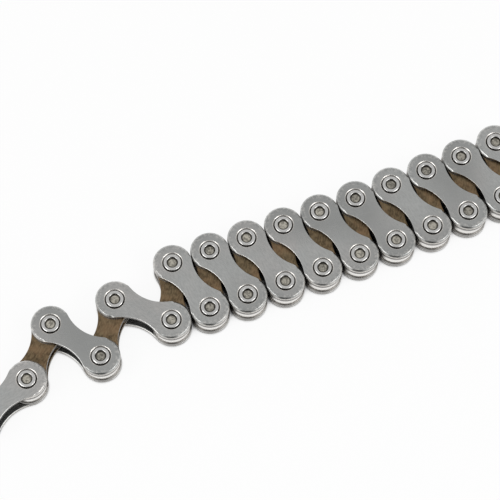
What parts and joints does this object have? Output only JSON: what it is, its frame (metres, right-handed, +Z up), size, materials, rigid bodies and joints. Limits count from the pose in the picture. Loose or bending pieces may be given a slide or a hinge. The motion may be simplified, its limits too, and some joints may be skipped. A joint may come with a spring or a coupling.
{
  "type": "bicycle chain",
  "caption": "Stretch of half-inch bicycle roller chain, folded zig-zag on its side, with waisted outer and inner plates, riveted recessed pins and free rollers.",
  "frame": {"origin": "on the ground under the middle of the box round the whole stretch", "axes": "+X along the stretch, from its loose left end to its tightly folded right end; +Y away from the viewer; +Z up, along the pins"},
  "size_m": [0.1248, 0.07, 0.0058],
  "materials": {
    "outer_plate_nickel": "satin nickel plate with a fine rolled grain",
    "inner_plate_brown": "brown heat-treated steel, satin, with bright sheared edges",
    "pin_steel": "riveted pin end, turned bright ring round a duller recess",
    "roller_steel": "ground and tumbled roller, semi-bright"
  },
  "bodies": {
    "outer_link_01": {"end_link_01": "outer_plate_nickel"},
    "outer_link_02": {"outer_plates_02": "outer_plate_nickel", "pins_02": "pin_steel"},
    "outer_link_03": {"outer_plates_03": "outer_plate_nickel", "pins_03": "pin_steel"},
    "outer_link_04": {"outer_plates_04": "outer_plate_nickel", "pins_04": "pin_steel"},
    "outer_link_05": {"outer_plates_05": "outer_plate_nickel", "pins_05": "pin_steel"},
    "outer_link_06": {"outer_plates_06": "outer_plate_nickel", "pins_06": "pin_steel"},
    "outer_link_07": {"outer_plates_07": "outer_plate_nickel", "pins_07": "pin_steel"},
    "outer_link_08": {"outer_plates_08": "outer_plate_nickel", "pins_08": "pin_steel"},
    "outer_link_09": {"outer_plates_09": "outer_plate_nickel", "pins_09": "pin_steel"},
    "outer_link_10": {"outer_plates_10": "outer_plate_nickel", "pins_10": "pin_steel"},
    "outer_link_11": {"outer_plates_11": "outer_plate_nickel", "pins_11": "pin_steel"},
    "outer_link_12": {"outer_plates_12": "outer_plate_nickel", "pins_12": "pin_steel"},
    "outer_link_13": {"end_link_13": "outer_plate_nickel"},
    "inner_link_01": {"inner_plates_01": "inner_plate_brown"},
    "inner_link_02": {"inner_plates_02": "inner_plate_brown"},
    "inner_link_03": {"inner_plates_03": "inner_plate_brown"},
    "inner_link_04": {"inner_plates_04": "inner_plate_brown"},
    "inner_link_05": {"inner_plates_05": "inner_plate_brown"},
    "inner_link_06": {"inner_plates_06": "inner_plate_brown"},
    "inner_link_07": {"inner_plates_07": "inner_plate_brown"},
    "inner_link_08": {"inner_plates_08": "inner_plate_brown"},
    "inner_link_09": {"inner_plates_09": "inner_plate_brown"},
    "inner_link_10": {"inner_plates_10": "inner_plate_brown"},
    "inner_link_11": {"inner_plates_11": "inner_plate_brown"},
    "inner_link_12": {"inner_plates_12": "inner_plate_brown"},
    "roller_01": {"roller_01": "roller_steel"},
    "roller_02": {"roller_02": "roller_steel"},
    "roller_03": {"roller_03": "roller_steel"},
    "roller_04": {"roller_04": "roller_steel"},
    "roller_05": {"roller_05": "roller_steel"},
    "roller_06": {"roller_06": "roller_steel"},
    "roller_07": {"roller_07": "roller_steel"},
    "roller_08": {"roller_08": "roller_steel"},
    "roller_09": {"roller_09": "roller_steel"},
    "roller_10": {"roller_10": "roller_steel"},
    "roller_11": {"roller_11": "roller_steel"},
    "roller_12": {"roller_12": "roller_steel"},
    "roller_13": {"roller_13": "roller_steel"},
    "roller_14": {"roller_14": "roller_steel"},
    "roller_15": {"roller_15": "roller_steel"},
    "roller_16": {"roller_16": "roller_steel"},
    "roller_17": {"roller_17": "roller_steel"},
    "roller_18": {"roller_18": "roller_steel"},
    "roller_19": {"roller_19": "roller_steel"},
    "roller_20": {"roller_20": "roller_steel"},
    "roller_21": {"roller_21": "roller_steel"},
    "roller_22": {"roller_22": "roller_steel"},
    "roller_23": {"roller_23": "roller_steel"},
    "roller_24": {"roller_24": "roller_steel"}
  },
  "joints": [
    {"name": "pivot_12", "type": "hinge", "parent": "outer_link_07", "child": "inner_link_06", "pos_m": [0.00381, 0.01166, 0.00288], "axis": [0, 0, -1], "range_deg": [0, 118]},
    {"name": "pivot_11", "type": "hinge", "parent": "inner_link_06", "child": "outer_link_06", "pos_m": [0.00421, -0.00103, 0.00288], "axis": [0, 0, 1], "range_deg": [0, 118]},
    {"name": "pivot_10", "type": "hinge", "parent": "outer_link_06", "child": "inner_link_05", "pos_m": [-0.00392, 0.00872, 0.00288], "axis": [0, 0, -1], "range_deg": [0, 118]},
    {"name": "pivot_09", "type": "hinge", "parent": "inner_link_05", "child": "outer_link_05", "pos_m": [-0.00364, -0.00398, 0.00288], "axis": [0, 0, 1], "range_deg": [0, 118]},
    {"name": "pivot_08", "type": "hinge", "parent": "outer_link_05", "child": "inner_link_04", "pos_m": [-0.01168, 0.00586, 0.00288], "axis": [0, 0, -1], "range_deg": [0, 118]},
    {"name": "pivot_07", "type": "hinge", "parent": "inner_link_04", "child": "outer_link_04", "pos_m": [-0.01153, -0.00684, 0.00288], "axis": [0, 0, 1], "range_deg": [0, 118]},
    {"name": "pivot_06", "type": "hinge", "parent": "outer_link_04", "child": "inner_link_03", "pos_m": [-0.01947, 0.00307, 0.00288], "axis": [0, 0, -1], "range_deg": [0, 160]},
    {"name": "pivot_05", "type": "hinge", "parent": "inner_link_03", "child": "outer_link_03", "pos_m": [-0.01945, -0.00963, 0.00288], "axis": [0, 0, 1], "range_deg": [-29.5, 139]},
    {"name": "pivot_04", "type": "hinge", "parent": "outer_link_03", "child": "inner_link_02", "pos_m": [-0.03131, -0.0051, 0.00288], "axis": [0, 0, -1], "range_deg": [-41.5, 130]},
    {"name": "pivot_03", "type": "hinge", "parent": "inner_link_02", "child": "outer_link_02", "pos_m": [-0.03388, -0.01753, 0.00288], "axis": [0, 0, 1], "range_deg": [-29.5, 156]},
    {"name": "pivot_02", "type": "hinge", "parent": "outer_link_02", "child": "inner_link_01", "pos_m": [-0.0445, -0.01056, 0.00288], "axis": [0, 0, -1], "range_deg": [-37.5, 186]},
    {"name": "pivot_01", "type": "hinge", "parent": "inner_link_01", "child": "outer_link_01", "pos_m": [-0.04884, -0.0225, 0.00288], "axis": [0, 0, 1], "range_deg": [-112, 120]},
    {"name": "pivot_13", "type": "hinge", "parent": "outer_link_07", "child": "inner_link_07", "pos_m": [0.01204, 0.00199, 0.00288], "axis": [0, 0, -1], "range_deg": [0, 118]},
    {"name": "pivot_14", "type": "hinge", "parent": "inner_link_07", "child": "outer_link_08", "pos_m": [0.01151, 0.01468, 0.00288], "axis": [0, 0, 1], "range_deg": [0, 118]},
    {"name": "pivot_15", "type": "hinge", "parent": "outer_link_08", "child": "inner_link_08", "pos_m": [0.01984, 0.0051, 0.00288], "axis": [0, 0, -1], "range_deg": [0, 118]},
    {"name": "pivot_16", "type": "hinge", "parent": "inner_link_08", "child": "outer_link_09", "pos_m": [0.01917, 0.01778, 0.00288], "axis": [0, 0, 1], "range_deg": [0, 118]},
    {"name": "pivot_17", "type": "hinge", "parent": "outer_link_09", "child": "inner_link_09", "pos_m": [0.0276, 0.00828, 0.00288], "axis": [0, 0, -1], "range_deg": [0, 118]},
    {"name": "pivot_18", "type": "hinge", "parent": "inner_link_09", "child": "outer_link_10", "pos_m": [0.02681, 0.02096, 0.00288], "axis": [0, 0, 1], "range_deg": [0, 118]},
    {"name": "pivot_19", "type": "hinge", "parent": "outer_link_10", "child": "inner_link_10", "pos_m": [0.03533, 0.01154, 0.00288], "axis": [0, 0, -1], "range_deg": [0, 118]},
    {"name": "pivot_20", "type": "hinge", "parent": "inner_link_10", "child": "outer_link_11", "pos_m": [0.03441, 0.02421, 0.00288], "axis": [0, 0, 1], "range_deg": [0, 118]},
    {"name": "pivot_21", "type": "hinge", "parent": "outer_link_11", "child": "inner_link_11", "pos_m": [0.04303, 0.01488, 0.00288], "axis": [0, 0, -1], "range_deg": [0, 118]},
    {"name": "pivot_22", "type": "hinge", "parent": "inner_link_11", "child": "outer_link_12", "pos_m": [0.04198, 0.02754, 0.00288], "axis": [0, 0, 1], "range_deg": [0, 118]},
    {"name": "pivot_23", "type": "hinge", "parent": "outer_link_12", "child": "inner_link_12", "pos_m": [0.0507, 0.0183, 0.00288], "axis": [0, 0, -1], "range_deg": [0, 118]},
    {"name": "pivot_24", "type": "hinge", "parent": "inner_link_12", "child": "outer_link_13", "pos_m": [0.04952, 0.03094, 0.00288], "axis": [0, 0, 1], "range_deg": [0, 190]},
    {"name": "roller_spin_01", "type": "hinge", "parent": "inner_link_01", "child": "roller_01", "pos_m": [-0.04884, -0.0225, 0.00288], "axis": [0, 0, 1], "continuous": true},
    {"name": "roller_spin_02", "type": "hinge", "parent": "inner_link_01", "child": "roller_02", "pos_m": [-0.0445, -0.01056, 0.00288], "axis": [0, 0, 1], "continuous": true},
    {"name": "roller_spin_03", "type": "hinge", "parent": "inner_link_02", "child": "roller_03", "pos_m": [-0.03388, -0.01753, 0.00288], "axis": [0, 0, 1], "continuous": true},
    {"name": "roller_spin_04", "type": "hinge", "parent": "inner_link_02", "child": "roller_04", "pos_m": [-0.03131, -0.0051, 0.00288], "axis": [0, 0, 1], "continuous": true},
    {"name": "roller_spin_05", "type": "hinge", "parent": "inner_link_03", "child": "roller_05", "pos_m": [-0.01945, -0.00963, 0.00288], "axis": [0, 0, 1], "continuous": true},
    {"name": "roller_spin_06", "type": "hinge", "parent": "inner_link_03", "child": "roller_06", "pos_m": [-0.01947, 0.00307, 0.00288], "axis": [0, 0, 1], "continuous": true},
    {"name": "roller_spin_07", "type": "hinge", "parent": "inner_link_04", "child": "roller_07", "pos_m": [-0.01153, -0.00684, 0.00288], "axis": [0, 0, 1], "continuous": true},
    {"name": "roller_spin_08", "type": "hinge", "parent": "inner_link_04", "child": "roller_08", "pos_m": [-0.01168, 0.00586, 0.00288], "axis": [0, 0, 1], "continuous": true},
    {"name": "roller_spin_09", "type": "hinge", "parent": "inner_link_05", "child": "roller_09", "pos_m": [-0.00364, -0.00398, 0.00288], "axis": [0, 0, 1], "continuous": true},
    {"name": "roller_spin_10", "type": "hinge", "parent": "inner_link_05", "child": "roller_10", "pos_m": [-0.00392, 0.00872, 0.00288], "axis": [0, 0, 1], "continuous": true},
    {"name": "roller_spin_11", "type": "hinge", "parent": "inner_link_06", "child": "roller_11", "pos_m": [0.00421, -0.00103, 0.00288], "axis": [0, 0, 1], "continuous": true},
    {"name": "roller_spin_12", "type": "hinge", "parent": "inner_link_06", "child": "roller_12", "pos_m": [0.00381, 0.01166, 0.00288], "axis": [0, 0, 1], "continuous": true},
    {"name": "roller_spin_13", "type": "hinge", "parent": "inner_link_07", "child": "roller_13", "pos_m": [0.01204, 0.00199, 0.00288], "axis": [0, 0, 1], "continuous": true},
    {"name": "roller_spin_14", "type": "hinge", "parent": "inner_link_07", "child": "roller_14", "pos_m": [0.01151, 0.01468, 0.00288], "axis": [0, 0, 1], "continuous": true},
    {"name": "roller_spin_15", "type": "hinge", "parent": "inner_link_08", "child": "roller_15", "pos_m": [0.01984, 0.0051, 0.00288], "axis": [0, 0, 1], "continuous": true},
    {"name": "roller_spin_16", "type": "hinge", "parent": "inner_link_08", "child": "roller_16", "pos_m": [0.01917, 0.01778, 0.00288], "axis": [0, 0, 1], "continuous": true},
    {"name": "roller_spin_17", "type": "hinge", "parent": "inner_link_09", "child": "roller_17", "pos_m": [0.0276, 0.00828, 0.00288], "axis": [0, 0, 1], "continuous": true},
    {"name": "roller_spin_18", "type": "hinge", "parent": "inner_link_09", "child": "roller_18", "pos_m": [0.02681, 0.02096, 0.00288], "axis": [0, 0, 1], "continuous": true},
    {"name": "roller_spin_19", "type": "hinge", "parent": "inner_link_10", "child": "roller_19", "pos_m": [0.03533, 0.01154, 0.00288], "axis": [0, 0, 1], "continuous": true},
    {"name": "roller_spin_20", "type": "hinge", "parent": "inner_link_10", "child": "roller_20", "pos_m": [0.03441, 0.02421, 0.00288], "axis": [0, 0, 1], "continuous": true},
    {"name": "roller_spin_21", "type": "hinge", "parent": "inner_link_11", "child": "roller_21", "pos_m": [0.04303, 0.01488, 0.00288], "axis": [0, 0, 1], "continuous": true},
    {"name": "roller_spin_22", "type": "hinge", "parent": "inner_link_11", "child": "roller_22", "pos_m": [0.04198, 0.02754, 0.00288], "axis": [0, 0, 1], "continuous": true},
    {"name": "roller_spin_23", "type": "hinge", "parent": "inner_link_12", "child": "roller_23", "pos_m": [0.0507, 0.0183, 0.00288], "axis": [0, 0, 1], "continuous": true},
    {"name": "roller_spin_24", "type": "hinge", "parent": "inner_link_12", "child": "roller_24", "pos_m": [0.04952, 0.03094, 0.00288], "axis": [0, 0, 1], "continuous": true}
  ]
}
